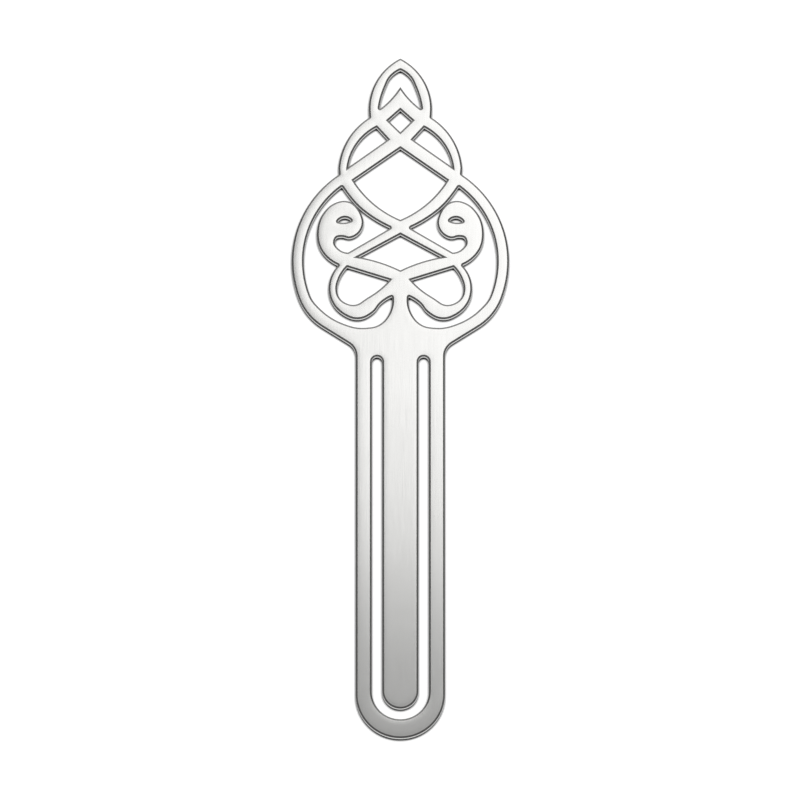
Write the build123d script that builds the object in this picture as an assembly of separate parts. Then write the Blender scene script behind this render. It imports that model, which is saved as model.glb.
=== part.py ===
from build123d import *
import os

# A page-clip bookmark: one flat sheet of metal with an openwork head of interlaced bands, a plain neck, and
# a long stem in which a U-shaped slot frees a round-ended spring tongue. The sheet is drawn whole, pierced,
# eased along its edges, and then divided at the crossings and ends of its bands into the named sections.
# X runs across, Y along the stem towards the head, and Z through the sheet from its back face.

# Sizes in millimetres
plate_thickness = 1.2
rim_width = 0.3
rim_depth = 0.2
kerf_radius = 0.1
ring_radius = 17.85
ring_band = 1.95
neck_radius = 2.6
stem_width = 14.6
stem_reach = 73.0
rail_width = 2.6
slot_width = 1.75
slot_reach = 16.14
toe_band = 3.2
overrun = 5.0

# The tongue bends along this share of its length, from its root
flex_share = 0.3

# Points of the right half of the head, as shares of the ring's radius from the ring's centre
crest_tip_share = (0, 1.92)
crest_side_share = (0.19, 1.755)
crest_foot_share = (0.29, 1.425)
crest_notch_share = (0.285, 1.36)
lobe_side_share = (0.465, 1.185)
lobe_foot_share = (0.57, 0.88)
ring_notch_share = (0.565, 0.82)
ring_shoulder_share = (0.935, -0.36)
ring_foot_share = (0.72, -0.625)

crest_opening_top_share = (0, 1.81)
crest_opening_side_shares = [(0.083, 1.75), (0.147, 1.625)]
crest_opening_corner_share = (0.195, 1.435)
crest_opening_chevron_share = (0.095, 1.525)
crest_opening_peak_share = (0, 1.65)

diamond_shares = [(0, 1.43), (0.11, 1.33), (0, 1.22)]

lobe_opening_top_share = (0.22, 1.265)
lobe_opening_side_share = (0.365, 1.148)
lobe_opening_foot_share = (0.481, 0.887)
lobe_opening_inner_share = (0.116, 1.15)

kite_top_share = (0, 1.067)
kite_corner_share = (0.43, 0.763)
kite_side_share = (0.27, 0.567)
kite_foot_share = (0, 0.39)

rhombus_top_share = (0, 0.25)
rhombus_corner_share = (0.385, 0.038)
rhombus_side_share = (0.184, -0.012)
rhombus_foot_share = (0, -0.088)

crescent_top_height_share = 0.705
crescent_foot_shares = [(0.71, -0.479), (0.55, -0.582), (0.35, -0.632), (0.185, -0.595), (0.101, -0.493)]
crescent_tip_share = (0.076, -0.335)
leaf_back_shares = [(0.18, -0.403), (0.244, -0.483), (0.377, -0.55), (0.547, -0.491), (0.631, -0.39),
                    (0.66, -0.255)]
crescent_notch_share = (0.57, -0.04)
scroll_back_shares = [(0.657, 0.012), (0.746, 0.13), (0.768, 0.255), (0.719, 0.44), (0.602, 0.55)]
scroll_end_shares = [(0.515, 0.57), (0.438, 0.546), (0.403, 0.514), (0.358, 0.44), (0.34, 0.364)]
mouth_end_shares = [(0.382, 0.26), (0.46, 0.216), (0.548, 0.228), (0.583, 0.222), (0.604, 0.176), (0.568, 0.115)]
mouth_foot_share = (0.482, 0.08)
mouth_corner_share = (0.088, 0.314)
mouth_band_shares = [(0.231, 0.391), (0.404, 0.529), (0.485, 0.627)]

leaf_opening_top_share = (0.489, -0.058)
leaf_opening_corner_share = (0.1, -0.18)
leaf_opening_side_shares = [(0.276, -0.33), (0.46, -0.412), (0.567, -0.336), (0.583, -0.264), (0.557, -0.16)]

eye_outer_share = (0.58, 0.37)
eye_top_share = (0.505, 0.41)
eye_inner_share = (0.45, 0.38)
eye_foot_share = (0.515, 0.363)

# Points inside the openings, through which the head is divided into its sections
scroll_slit_shares = [(0.48, 0.6), (0.4035, 0.5215), (0.33, 0.443)]
mouth_middle_shares = [(0.25, 0.33), (0.4, 0.19)]
leaf_middle_share = (0.4, -0.2)
rhombus_middle_share = (0, 0.05)


def at(share):
    """A point of the head, from its share of the ring's radius."""
    return Vector(share[0] * ring_radius, share[1] * ring_radius)


def points(shares):
    return [at(share) for share in shares]


def both_sides(edges):
    """A face closed by the right half of its outline and that half's mirror image."""
    half = Curve() + edges
    return make_face(half + mirror(half, about=Plane.YZ))


def mirrored(corner):
    return Vector(-corner.X, corner.Y)


def heading_at(before, point, after):
    """The direction, at a point, of the circle through it and its neighbours on a path."""
    arriving = point - before
    leaving = after - point
    return (arriving / arriving.length ** 2 + leaving / leaving.length ** 2).normalized()


def two_arcs(start, leaving, end, arriving):
    """Two arcs that meet smoothly on the way from one point and direction to another."""
    chord = end - start
    ahead = chord.dot(leaving + arriving)
    bend = 2 * (1 - leaving.dot(arriving))
    step = chord.length ** 2 / (ahead + (ahead ** 2 + bend * chord.length ** 2) ** 0.5)
    middle = (start + end + (leaving - arriving) * step) / 2
    return [TangentArc(start, middle, tangent=leaving), TangentArc(end, middle, tangent=-arriving)]


def curve(path, leaving=None):
    """Arcs that run smoothly through the points of a path, from a first direction if one is given."""
    headings = [heading_at(*three) for three in zip(path, path[1:], path[2:])]
    stops = list(zip(path[1:-1], headings))
    first = [TangentArc(path[1], path[0], tangent=-headings[0])]
    if leaving:
        first = two_arcs(path[0], leaving, *stops[0])
    between = [arc for start, end in zip(stops, stops[1:]) for arc in two_arcs(*start, *end)]
    last = TangentArc(path[-2], path[-1], tangent=headings[-1])
    return [*first, *between, last]


def rounded(face, corners, radius=kerf_radius):
    """The face with the given corners rounded, by default as a piercing blade leaves them."""
    chosen = [face.vertices().sort_by_distance(corner)[0] for corner in corners]
    return fillet(chosen, radius)


# Levels along the stem, from the ring's centre
half_stem = stem_width / 2
half_slot_outside = half_stem - rail_width
half_tongue = half_slot_outside - slot_width
half_slot_middle = (half_slot_outside + half_tongue) / 2
toe_level = -stem_reach
toe_bottom = toe_level - half_stem
bend_level = toe_bottom + toe_band + half_slot_outside
root_level = -slot_reach - slot_width / 2
tongue_length = root_level - (bend_level - half_tongue)
flex_level = root_level - tongue_length * flex_share

# The part's origin is under the middle of the sheet's length
origin_level = (at(crest_tip_share).Y + toe_bottom) / 2

# The ring's band: two arcs that meet at its widest point
ring_side = Vector(ring_radius, 0)
ring_notch = at(ring_notch_share)
ring_shoulder = at(ring_shoulder_share)
ring_above = TangentArc(ring_side, ring_notch, tangent=(0, 1))
ring_below = TangentArc(ring_side, ring_shoulder, tangent=(0, -1))
ring_foot = at(ring_foot_share)
ring_turn = TangentArc(ring_shoulder, ring_foot, tangent=ring_below % 1)


def outline():
    """The sheet's outer edge: crest, lobe, ring, neck, stem and round toe."""
    slope = ring_turn % 1
    neck_run = (half_stem - ring_foot.X) / slope.X
    neck = ring_foot + slope * neck_run
    crest_notch = at(crest_notch_share)
    face = both_sides([
        ThreePointArc(at(crest_tip_share), at(crest_side_share), at(crest_foot_share)),
        Line(at(crest_foot_share), crest_notch),
        ThreePointArc(crest_notch, at(lobe_side_share), at(lobe_foot_share)),
        Line(at(lobe_foot_share), ring_notch),
        ring_above,
        ring_below,
        ring_turn,
        Line(ring_foot, neck),
        Line(neck, (half_stem, toe_level)),
        TangentArc((half_stem, toe_level), (0, toe_bottom), tangent=(0, -1)),
    ])
    face = rounded(face, [crest_notch, mirrored(crest_notch), ring_notch, mirrored(ring_notch)])
    return rounded(face, [neck, mirrored(neck)], neck_radius)


def crest_opening():
    top = at(crest_opening_top_share)
    corner = at(crest_opening_corner_share)
    face = both_sides([
        *curve([top, *points(crest_opening_side_shares), corner]),
        ThreePointArc(corner, at(crest_opening_chevron_share), at(crest_opening_peak_share)),
    ])
    return rounded(face, [top, corner, mirrored(corner)])


def diamond():
    return both_sides([Polyline(*points(diamond_shares))])


def lobe_opening():
    top = at(lobe_opening_top_share)
    foot = at(lobe_opening_foot_share)
    inner = at(lobe_opening_inner_share)
    return make_face([
        ThreePointArc(top, at(lobe_opening_side_share), foot),
        Line(foot, inner),
        Line(inner, top),
    ])


def kite():
    corner = at(kite_corner_share)
    return both_sides([
        Line(at(kite_top_share), corner),
        ThreePointArc(corner, at(kite_side_share), at(kite_foot_share)),
    ])


def rhombus():
    corner = at(rhombus_corner_share)
    return both_sides([
        Line(at(rhombus_top_share), corner),
        ThreePointArc(corner, at(rhombus_side_share), at(rhombus_foot_share)),
    ])


def inside_band(arc, point):
    """The point across the ring's band from a point of its outer arc."""
    return point + (arc.arc_center - point).normalized() * ring_band


def crescent_top():
    """The crescent's upper corner, on the inner edge of the ring's band."""
    height = crescent_top_height_share * ring_radius
    reach = (ring_above.radius - ring_band) ** 2 - height ** 2
    return Vector(ring_above.arc_center.X + reach ** 0.5, height)


def crescent():
    """The opening round the leaf and the scroll, whose round end stands a slit away from the band beside it."""
    top = crescent_top()
    side = inside_band(ring_above, ring_side)
    shoulder = inside_band(ring_below, ring_shoulder)
    tip = at(crescent_tip_share)
    notch = at(crescent_notch_share)
    foot = at(mouth_foot_share)
    corner = at(mouth_corner_share)
    scroll = points([*scroll_back_shares, *scroll_end_shares, *mouth_end_shares])
    face = make_face([
        TangentArc(side, top, tangent=(0, 1)),
        TangentArc(side, shoulder, tangent=(0, -1)),
        *curve([shoulder, *points(crescent_foot_shares), tip], ring_below % 1),
        *curve([tip, *points(leaf_back_shares), notch]),
        *curve([notch, *scroll, foot]),
        Line(foot, corner),
        *curve([corner, *points(mouth_band_shares), top]),
    ])
    return rounded(face, [top, tip, notch, foot, corner])


def leaf_opening():
    top = at(leaf_opening_top_share)
    corner = at(leaf_opening_corner_share)
    return make_face([
        Line(top, corner),
        *curve([corner, *points(leaf_opening_side_shares), top]),
    ])


def eye():
    outer = at(eye_outer_share)
    inner = at(eye_inner_share)
    face = make_face([
        ThreePointArc(outer, at(eye_top_share), inner),
        ThreePointArc(inner, at(eye_foot_share), outer),
    ])
    return rounded(face, [outer, inner])


def slot():
    """The U-shaped slot that frees the tongue, with round ends beside its root."""
    cap = Vector(half_slot_middle, root_level + slot_width / 2)
    return both_sides([
        TangentArc((half_tongue, bend_level), (0, bend_level - half_tongue), tangent=(0, -1)),
        Line((half_tongue, bend_level), (half_tongue, root_level)),
        ThreePointArc((half_tongue, root_level), cap, (half_slot_outside, root_level)),
        Line((half_slot_outside, root_level), (half_slot_outside, bend_level)),
        TangentArc((half_slot_outside, bend_level), (0, bend_level - half_slot_outside), tangent=(0, -1)),
    ])


def eased(plate, end):
    """The plate with a slight bevel along all the edges of its back face, 0, or its front face, -1."""
    level = plate.faces().filter_by(Plane.XY).sort_by(Axis.Z)[end]
    return chamfer(level.edges(), rim_width, rim_depth, reference=level)


def sheet():
    """The whole pierced sheet, with the edges of both faces eased."""
    face = outline()
    for opening in (crest_opening(), diamond(), kite(), rhombus(), slot()):
        face -= opening
    for opening in (lobe_opening(), crescent(), leaf_opening(), eye()):
        face -= opening
        face -= mirror(opening, about=Plane.YZ)
    plate = extrude(face, plate_thickness)
    return eased(eased(plate, 0), -1)


def across(back):
    """Halfway over the crescent opening, from the back of the scroll or leaf to the ring's band."""
    return back.normalized() * ((back.length + ring_radius - ring_band) / 2)


def whole_width(low, high):
    """A strip of the plane across the whole sheet, between two levels."""
    reach = ring_radius + overrun
    return make_face(Polyline((-reach, low), (reach, low), (reach, high), (-reach, high), close=True))


def paired_sections():
    """Corners of the right-hand regions of the head that have a twin on the left."""
    top = crescent_top()
    notch = at(crescent_notch_share)
    leaf_backs = points(leaf_back_shares)
    scroll_gap = [across(point) for point in (notch, *points(scroll_back_shares))]
    leaf_gap = across(leaf_backs[-1])
    foot_gap = [(foot + back) / 2 for foot, back in zip(reversed(points(crescent_foot_shares)), leaf_backs)]
    band_middle, leaf_side = foot_gap[-2:]
    band_end = ring_foot + (ring_foot - band_middle).normalized() * overrun
    aside = ring_radius + overrun
    return {
        "ring": [top, *reversed(scroll_gap), leaf_gap, leaf_side, band_middle, band_end,
                 (aside, band_end.Y), (aside, ring_notch.Y), ring_notch],
        "scroll": [*points(scroll_slit_shares), *points(mouth_middle_shares), at(mouth_foot_share), notch,
                   *scroll_gap],
        "leaf": [notch, at(leaf_opening_top_share), at(leaf_middle_share), at(leaf_opening_corner_share),
                 at(crescent_tip_share), *foot_gap, leaf_gap, scroll_gap[0]],
    }


def sections():
    """The named regions that the sheet is divided into, in the order in which they are cut out of it."""
    above = at(crest_tip_share).Y + overrun
    aside = ring_radius + overrun
    kite_corner = at(kite_corner_share)
    leaf_corner = at(leaf_opening_corner_share)
    tip = at(crescent_tip_share)
    yield "crest", whole_width(at(crest_notch_share).Y, above)
    yield "upper_lattice", both_sides([Polyline(
        (0, above), (aside, above), (aside, ring_notch.Y), ring_notch, crescent_top(), kite_corner,
        (0, kite_corner.Y),
    )])
    for name, corners in paired_sections().items():
        region = make_face(Polyline(*corners, close=True))
        yield f"right_{name}", region
        yield f"left_{name}", mirror(region, about=Plane.YZ)
    yield "centre_post", both_sides([Polyline(
        at(rhombus_middle_share), at(rhombus_corner_share), at(leaf_opening_top_share),
        at(leaf_middle_share), leaf_corner, tip, (0, tip.Y),
    )])
    yield "middle_lattice", whole_width(leaf_corner.Y, above)
    yield "neck_plate", whole_width(root_level, above)
    inside_slot = both_sides([
        Polyline((0, root_level), (half_slot_middle, root_level), (half_slot_middle, bend_level)),
        TangentArc((half_slot_middle, bend_level), (0, bend_level - half_slot_middle), tangent=(0, -1)),
    ])
    yield "tongue_root", inside_slot & whole_width(flex_level, root_level)
    yield "tongue_blade", inside_slot
    rail = make_face(Polyline(
        (0, bend_level), (aside, bend_level), (aside, root_level), (0, root_level), close=True,
    ))
    yield "right_rail", rail
    yield "left_rail", mirror(rail, about=Plane.YZ)
    yield "toe_bow", whole_width(toe_bottom - overrun, bend_level)


def main():
    os.makedirs("parts", exist_ok=True)
    rest = sheet()
    to_origin = Pos(0, -origin_level, 0)
    for name, region in sections():
        prism = Pos(0, 0, -overrun) * extrude(region, plate_thickness + 2 * overrun)
        export_step(to_origin * (rest & prism), f"parts/{name}.step")
        rest = rest - prism


if __name__ == "__main__":
    main()
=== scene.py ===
import itertools
import math

import bmesh
import bpy
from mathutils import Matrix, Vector
from mathutils.bvhtree import BVHTree
from mathutils.geometry import delaunay_2d_cdt


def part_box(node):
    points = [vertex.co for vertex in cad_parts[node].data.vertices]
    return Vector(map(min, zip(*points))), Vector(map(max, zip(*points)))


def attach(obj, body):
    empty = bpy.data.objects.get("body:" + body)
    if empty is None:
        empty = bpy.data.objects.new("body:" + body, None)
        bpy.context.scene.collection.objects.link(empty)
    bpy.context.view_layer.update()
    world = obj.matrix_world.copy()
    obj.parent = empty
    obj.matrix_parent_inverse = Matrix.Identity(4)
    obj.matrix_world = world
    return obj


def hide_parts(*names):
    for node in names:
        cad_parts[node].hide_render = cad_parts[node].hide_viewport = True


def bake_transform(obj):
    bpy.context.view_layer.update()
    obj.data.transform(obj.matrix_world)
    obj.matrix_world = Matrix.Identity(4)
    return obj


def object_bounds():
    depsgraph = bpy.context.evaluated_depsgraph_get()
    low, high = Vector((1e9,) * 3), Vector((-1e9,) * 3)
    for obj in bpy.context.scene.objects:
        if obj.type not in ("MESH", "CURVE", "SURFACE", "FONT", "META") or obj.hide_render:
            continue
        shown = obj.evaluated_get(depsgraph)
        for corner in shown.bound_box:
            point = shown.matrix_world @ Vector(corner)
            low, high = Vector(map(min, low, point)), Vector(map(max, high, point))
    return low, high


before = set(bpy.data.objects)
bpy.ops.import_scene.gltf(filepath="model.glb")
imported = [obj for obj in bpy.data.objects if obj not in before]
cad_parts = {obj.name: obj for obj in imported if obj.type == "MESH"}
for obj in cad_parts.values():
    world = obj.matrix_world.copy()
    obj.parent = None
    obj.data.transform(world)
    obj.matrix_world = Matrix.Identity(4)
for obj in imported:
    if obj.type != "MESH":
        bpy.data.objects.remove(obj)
cad_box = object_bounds()

# How the photograph was taken: a long lens that looks down on the front face from the toe's side
picture_px = 800
middle_px = Vector((400.35, 397.1))
px_per_metre = 6090
camera_tilt = math.radians(13)
lens_mm = 1200
sensor_mm = 36

# The studio, in metres: a softbox above the head, and a pale room with a dark band round it
softbox_low = Vector((-0.029, 0.055))
softbox_high = Vector((0.47, 0.39))
softbox_height = 0.375
softbox_watts = 0.455
room_axis = (0, 0.22, 1)
band_top = (0.46, 0.54)
room_tones = {0: 0.7, 0.34: 0.6, 0.4: 0.09, band_top[0]: 0.08, band_top[1]: 0.45, 0.85: 0.39, 1: 0.335}
far_wall = (0.5, 0.85)
far_tone = (0.8, 0.8, 0.8, 1)
floor_half = 4
floor_drop = 0.00003
floor_colour = (0.9, 0.9, 0.9, 1)
floor_glow = 0.72
glow_colour = (1, 1, 1, 1)
shadow_colour = (0, 0, 0, 1)
# A painted contact shadow on the floor: how far it reaches, which way it leans, and the occlusion over
# which it fades out
painted_shadow_width = 0.0005
painted_shadow_tilt = (0.08, 0.65, 0.756)
painted_shadow_fade = (0.45, 0.97)

# The metal: its colours and roughness, and the sizes in metres of the marks of polishing and cutting
metal_light = (0.875, 0.872, 0.857, 1)
metal_dull = (0.86, 0.857, 0.842, 1)
polish_roughness = (0.165, 0.205)
haze_roughness = (-0.006, 0.006)
grain_size = (0.00015, 0.006, 0.00015)
haze_size = (0.011, 0.018, 0.011)
cut_size = (0.0002, 0.0002, 0.003)
grain_height = 0.0000003
noise_detail = 3
noise_span = (0.3, 0.7)
dull_span = (0.35, 0.75)
break_heights = (0.0004, 0.0007)
break_wander = (-0.00003, 0.00003)
# The lower part of each cut wall is darker, partly as the rougher break's own colour and partly as
# painted shade near the floor
break_and_shade_colour = (0.35, 0.349, 0.345, 1)
break_roughness = 0.3
# The rim bevels are painted darker: painted shade for the dark surroundings they mirror
painted_rim_shade_colour = (0.35, 0.349, 0.343, 1)

# How level a surface is, from 0 to 1: where walls end and faces begin, and where rims end and flats begin
wall_to_face = (0.1, 0.6)
rim_to_flat = (0.8, 0.95)

# Ways to spread a value over the range from nothing to all of it
rising = (0, 1)
falling = (1, 0)

# The front face, in metres: polishing has rounded it a little towards every cut edge
crown_reach = 0.0009
crown_fall = 0.000014
crown_rows = (0.00012, 0.00028, 0.00048, 0.0007, 0.00088)
crown_step = 0.0003
crown_gap = 0.00005
crown_slack = 0.05
whole_hull = 0
rim_rise = 0.1
weld_width = 0.000001
sharp_angle = math.radians(22)
millimetre = 0.001
height_name = "height"

# The tongue's root is cut across into this many steps
tongue_nodes = ("tongue_root", "tongue_blade")
bend_steps = 24


def camera():
    data = bpy.data.cameras.new("camera")
    data.lens = lens_mm
    data.sensor_width = sensor_mm
    distance = picture_px / px_per_metre * lens_mm / sensor_mm
    data.clip_end = 2 * distance + floor_half
    aside, ahead = (picture_px / 2 - middle_px.x), (middle_px.y - picture_px / 2)
    aim = Vector((aside / px_per_metre, ahead / px_per_metre / math.cos(camera_tilt), cad_box[1].z))
    eye = bpy.data.objects.new("camera", data)
    eye.location = aim + distance * Vector((0, -math.sin(camera_tilt), math.cos(camera_tilt)))
    eye.rotation_euler = (camera_tilt, 0, 0)
    bpy.context.scene.collection.objects.link(eye)
    bpy.context.scene.camera = eye


def softbox():
    size = softbox_high - softbox_low
    data = bpy.data.lights.new("softbox", "AREA")
    data.shape = "RECTANGLE"
    data.size, data.size_y = size
    data.energy = softbox_watts
    lamp = bpy.data.objects.new("softbox", data)
    lamp.location = ((softbox_low + softbox_high) / 2).to_3d() + Vector((0, 0, softbox_height))
    bpy.context.scene.collection.objects.link(lamp)


def room():
    """A pale room with a dark band round it, which the rims mirror, and a far wall without the band."""
    world = bpy.data.worlds.new("room")
    bpy.context.scene.world = world
    world.use_nodes = True
    tree = world.node_tree
    nodes, links = tree.nodes, tree.links
    direction = nodes.new("ShaderNodeTexCoord")
    parts = nodes.new("ShaderNodeSeparateXYZ")
    links.new(direction.outputs["Generated"], parts.inputs[0])
    height = nodes.new("ShaderNodeVectorMath")
    height.operation = "DOT_PRODUCT"
    links.new(direction.outputs["Generated"], height.inputs[0])
    height.inputs[1].default_value = room_axis
    tones = nodes.new("ShaderNodeValToRGB")
    stops = tones.color_ramp.elements
    while len(stops) < len(room_tones):
        stops.new(1)
    for stop, (level, tone) in zip(stops, room_tones.items()):
        stop.position = level
        stop.color = (tone, tone, tone, 1)
    links.new(height.outputs["Value"], tones.inputs["Fac"])
    low = remapped(tree, height.outputs["Value"], band_top, falling)
    away = remapped(tree, parts.outputs["Y"], far_wall, rising)
    far = combined(tree, "MULTIPLY", low, away)
    colour = blended(tree, far, tones.outputs["Color"], far_tone)
    links.new(colour, nodes["Background"].inputs["Color"])


def floor():
    """A white table top that glows to the camera and in reflections, and takes the lamps' shadows; a
    painted contact shadow from an occlusion test also darkens its colour and its glow to the camera near
    the object.
    """
    mesh = bmesh.new()
    bmesh.ops.create_grid(mesh, x_segments=1, y_segments=1, size=floor_half)
    data = bpy.data.meshes.new("floor")
    mesh.to_mesh(data)
    mesh.free()
    table = bpy.data.objects.new("floor", data)
    table.location.z = -floor_drop
    bpy.context.scene.collection.objects.link(table)

    material = bpy.data.materials.new("white_table")
    data.materials.append(material)
    material.use_nodes = True
    tree = material.node_tree
    nodes, links = tree.nodes, tree.links
    shader = nodes["Principled BSDF"]
    shader.inputs["Roughness"].default_value = 1
    shader.inputs["Specular IOR Level"].default_value = 0
    shader.inputs["Emission Color"].default_value = glow_colour
    # Painted contact shadow: occlusion near the object darkens the floor's colour and its glow to the
    # camera
    nearby = nodes.new("ShaderNodeAmbientOcclusion")
    nearby.inputs["Distance"].default_value = painted_shadow_width
    towards = nodes.new("ShaderNodeCombineXYZ")
    for socket, part in zip(towards.inputs, painted_shadow_tilt):
        socket.default_value = part
    links.new(towards.outputs["Vector"], nearby.inputs["Normal"])
    outside_painted_shadow = remapped(tree, nearby.outputs["AO"], painted_shadow_fade, rising)
    path = nodes.new("ShaderNodeLightPath")
    seen = combined(tree, "MULTIPLY", path.outputs["Is Camera Ray"], outside_painted_shadow)
    for ray in ("Is Glossy Ray", "Is Transmission Ray"):
        seen = combined(tree, "MAXIMUM", seen, path.outputs[ray])
    glow = remapped(tree, seen, rising, (0, floor_glow))
    links.new(glow, shader.inputs["Emission Strength"])
    links.new(blended(tree, outside_painted_shadow, shadow_colour, floor_colour), shader.inputs["Base Color"])


def noise(tree, place, size):
    """Noise whose blobs have the given size along each axis."""
    stretch = tree.nodes.new("ShaderNodeMapping")
    stretch.inputs["Scale"].default_value = [1 / length for length in size]
    tree.links.new(place, stretch.inputs["Vector"])
    texture = tree.nodes.new("ShaderNodeTexNoise")
    texture.inputs["Scale"].default_value = 1
    texture.inputs["Detail"].default_value = noise_detail
    tree.links.new(stretch.outputs["Vector"], texture.inputs["Vector"])
    return texture.outputs["Fac"]


def remapped(tree, value, old, new):
    node = tree.nodes.new("ShaderNodeMapRange")
    tree.links.new(value, node.inputs["Value"])
    for name, number in zip(("From Min", "From Max", "To Min", "To Max"), (*old, *new)):
        node.inputs[name].default_value = number
    return node.outputs["Result"]


def combined(tree, operation, first, second):
    node = tree.nodes.new("ShaderNodeMath")
    node.operation = operation
    tree.links.new(first, node.inputs[0])
    tree.links.new(second, node.inputs[1])
    return node.outputs[0]


def blended(tree, factor, first, second):
    """A colour between the two, each of which is a colour or a socket."""
    node = tree.nodes.new("ShaderNodeMix")
    node.data_type = "RGBA"
    tree.links.new(factor, node.inputs["Factor"])
    for socket, colour in zip(node.inputs[6:8], (first, second)):
        if isinstance(colour, tuple):
            socket.default_value = colour
        else:
            tree.links.new(colour, socket)
    return node.outputs[2]


def metal():
    """Satin metal: fine lines along the stem, a faint haze, painted shade on the rims, and rough cuts on
    the walls whose lower half is darker, as a rougher break and as painted shade.
    """
    material = bpy.data.materials.new("satin_metal")
    material.use_nodes = True
    tree = material.node_tree
    shader = tree.nodes["Principled BSDF"]
    shader.inputs["Metallic"].default_value = 1
    place = tree.nodes.new("ShaderNodeTexCoord")
    facing = tree.nodes.new("ShaderNodeSeparateXYZ")
    tree.links.new(place.outputs["Normal"], facing.inputs[0])
    grain = noise(tree, place.outputs["Object"], grain_size)
    haze = noise(tree, place.outputs["Object"], haze_size)
    cuts = noise(tree, place.outputs["Object"], cut_size)

    level_face = combined(tree, "MULTIPLY", facing.outputs["Z"], facing.outputs["Z"])
    flat = remapped(tree, level_face, wall_to_face, rising)
    marks = tree.nodes.new("ShaderNodeMix")
    tree.links.new(flat, marks.inputs["Factor"])
    tree.links.new(cuts, marks.inputs["A"])
    tree.links.new(grain, marks.inputs["B"])

    level = tree.nodes.new("ShaderNodeAttribute")
    level.attribute_name = height_name
    wander = remapped(tree, cuts, noise_span, break_wander)
    torn_and_shaded = remapped(tree, combined(tree, "ADD", level.outputs["Fac"], wander), break_heights, falling)
    torn_and_shaded = combined(tree, "MULTIPLY", torn_and_shaded, remapped(tree, flat, rising, falling))

    fine = remapped(tree, marks.outputs["Result"], noise_span, polish_roughness)
    broad = remapped(tree, haze, noise_span, haze_roughness)
    polished = combined(tree, "ADD", fine, broad)
    rough = remapped(tree, torn_and_shaded, rising, (0, break_roughness))
    tree.links.new(combined(tree, "MAXIMUM", polished, rough), shader.inputs["Roughness"])

    colour = blended(tree, remapped(tree, haze, dull_span, rising), metal_light, metal_dull)
    # Darker lower walls: part the break's own colour, part painted shade near the floor
    colour = blended(tree, torn_and_shaded, colour, break_and_shade_colour)
    # Painted shade: the sloping rim bevels take the darker rim colour
    painted_rim_shade = combined(tree, "MULTIPLY", flat, remapped(tree, level_face, rim_to_flat, falling))
    colour = blended(tree, painted_rim_shade, colour, painted_rim_shade_colour)
    tree.links.new(colour, shader.inputs["Base Color"])

    bump = tree.nodes.new("ShaderNodeBump")
    bump.inputs["Distance"].default_value = grain_height
    tree.links.new(marks.outputs["Result"], bump.inputs["Height"])
    tree.links.new(bump.outputs["Normal"], shader.inputs["Normal"])
    return material


def welded(nodes):
    """One closed mesh of the sections named, without the walls where they meet."""
    mesh = bmesh.new()
    for node in nodes:
        mesh.from_mesh(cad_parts[node].data)
    bmesh.ops.remove_doubles(mesh, verts=mesh.verts, dist=weld_width)
    for node in nodes[:-1]:
        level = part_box(node)[0].y
        wall = [face for face in mesh.faces
                if all(abs(vert.co.y - level) < weld_width for vert in face.verts)]
        bmesh.ops.delete(mesh, geom=wall, context="FACES")
    mesh.normal_update()
    return mesh


def front_of(mesh):
    top = cad_box[1].z - weld_width
    return [face for face in mesh.faces if all(vert.co.z > top for vert in face.verts)]


def border_of(front):
    """The edges round the front face, and those of them that lie along a rim, not a section's end."""
    inside = set(front)
    border = [edge for face in front for edge in face.edges if not inside.issuperset(edge.link_faces)]
    along_rim = [edge for edge in border
                 if any(face.normal.z > rim_rise for face in edge.link_faces if face not in inside)]
    return border, along_rim


def strips(edges):
    """Upright strips along the edges, to measure how far a place is from the nearest one."""
    corners = []
    for edge in edges:
        one, other = (vert.co.to_2d() for vert in edge.verts)
        corners += [(*one, -crown_reach), (*other, -crown_reach)]
        corners += [(*other, crown_reach), (*one, crown_reach)]
    faces = [range(first, first + 4) for first in range(0, len(corners), 4)]
    return BVHTree.FromPolygons(corners, faces)


def distance(walls, place):
    return walls.find_nearest((place.x, place.y, 0))[3]


def enclosed(triangles, fences):
    """The triangles that the fences enclose: a way in from the hull crosses an odd number of fences."""
    fences = {frozenset(fence) for fence in fences}
    sides = {triangle: [frozenset(pair) for pair in itertools.combinations(triangle, 2)]
             for triangle in triangles}
    beside = {}
    for triangle in triangles:
        for side in sides[triangle]:
            beside.setdefault(side, []).append(triangle)
    inside = {pair[0]: side in fences for side, pair in beside.items() if len(pair) == 1}
    reached = list(inside)
    while reached:
        triangle = reached.pop()
        for side in sides[triangle]:
            for other in beside[side]:
                if other not in inside:
                    inside[other] = inside[triangle] != (side in fences)
                    reached.append(other)
    return [triangle for triangle in triangles if inside[triangle]]


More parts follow.
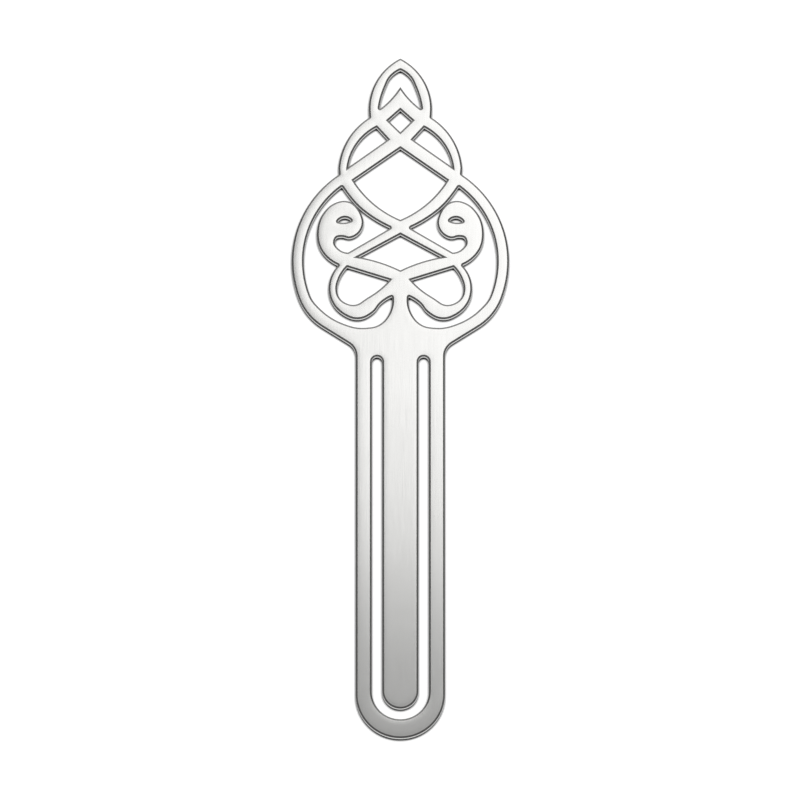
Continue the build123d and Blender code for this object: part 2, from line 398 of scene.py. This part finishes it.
def crowned(mesh, rims):
    """Divides the front face finely along the rims, and lets it fall a little towards them."""
    front = front_of(mesh)
    for edge in border_of(front)[0]:
        corner = edge.verts[0]
        for parts in range(math.ceil(edge.calc_length() / crown_step), 1, -1):
            corner = bmesh.utils.edge_split(edge, corner, 1 / parts)[1]
    border, along_rim = border_of(front)
    verts = list(dict.fromkeys(vert for edge in border for vert in edge.verts))
    inside = set(front)
    solid = BVHTree.FromBMesh(mesh)

    inward = {}
    for edge in along_rim:
        loop = next(loop for loop in edge.link_loops if loop.face in inside)
        ahead = (loop.link_loop_next.vert.co - loop.vert.co).normalized()
        for vert in edge.verts:
            inward[vert] = inward.get(vert, Vector()) + Vector((-ahead.y, ahead.x, 0))
    walls = strips(border)
    rows = {}
    for depth in crown_rows:
        for vert, aim in inward.items():
            place = vert.co + depth * aim.normalized()
            across, along = (int(value // crown_gap) for value in place.to_2d())
            nearby = [(across + right, along + up) for right in (-1, 0, 1) for up in (-1, 0, 1)]
            if any(cell in rows for cell in nearby) or distance(walls, place) < crown_gap:
                continue
            off = solid.find_nearest(place)[3]
            if off < crown_slack * crown_gap and abs(distance(rims, place) / depth - 1) < crown_slack:
                rows[across, along] = place

    number = {vert: index for index, vert in enumerate(verts)}
    fixed = [[number[vert] for vert in edge.verts] for edge in border]
    bmesh.ops.delete(mesh, geom=front, context="FACES")
    verts += [mesh.verts.new(place) for place in rows.values()]
    plan = [(vert.co / millimetre).to_2d() for vert in verts]
    _, _, faces, origins, _, _ = delaunay_2d_cdt(plan, fixed, [], whole_hull, weld_width / millimetre)
    for face in enclosed([tuple(origins[index][0] for index in face) for face in faces], fixed):
        mesh.faces.new([verts[index] for index in face])
    for vert in verts:
        closeness = max(0, 1 - distance(rims, vert.co) / crown_reach)
        vert.co.z -= crown_fall * closeness ** 2
    mesh.normal_update()


def sheet(name, mesh, nodes, material):
    """A piece of the polished sheet, which stands for the sections named."""
    data = bpy.data.meshes.new(name)
    mesh.to_mesh(data)
    mesh.free()
    data.attributes.remove(data.attributes["custom_normal"])
    heights = data.attributes.new(height_name, "FLOAT", "POINT")
    heights.data.foreach_set("value", [vert.co.z for vert in data.vertices])
    data.shade_smooth()
    data.set_sharp_from_angle(angle=sharp_angle)
    data.materials.append(material)
    piece = bpy.data.objects.new(name, data)
    bpy.context.scene.collection.objects.link(piece)
    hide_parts(*nodes)
    return piece


def tongue(mesh, material):
    """The whole tongue as one strip, cut across its root into steps where the real springy sheet bends.
    """
    root_low, root_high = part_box(tongue_nodes[0])
    for step in range(1, bend_steps):
        level = root_low.lerp(root_high, step / bend_steps)
        bmesh.ops.bisect_plane(mesh, geom=mesh.verts[:] + mesh.edges[:] + mesh.faces[:],
                               plane_co=level, plane_no=(0, 1, 0))
    piece = sheet("tongue_sheet", mesh, tongue_nodes, material)
    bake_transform(piece)


bpy.context.scene.view_settings.view_transform = "Standard"
camera()
softbox()
room()
floor()
satin = metal()
meshes = {node: welded([node]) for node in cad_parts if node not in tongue_nodes}
strip = welded(tongue_nodes)
rims = strips([edge for mesh in (*meshes.values(), strip) for edge in border_of(front_of(mesh))[1]])
for node, solid in meshes.items():
    crowned(solid, rims)
    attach(sheet(f"{node}_sheet", solid, [node], satin), "frame")
crowned(strip, rims)
tongue(strip, satin)
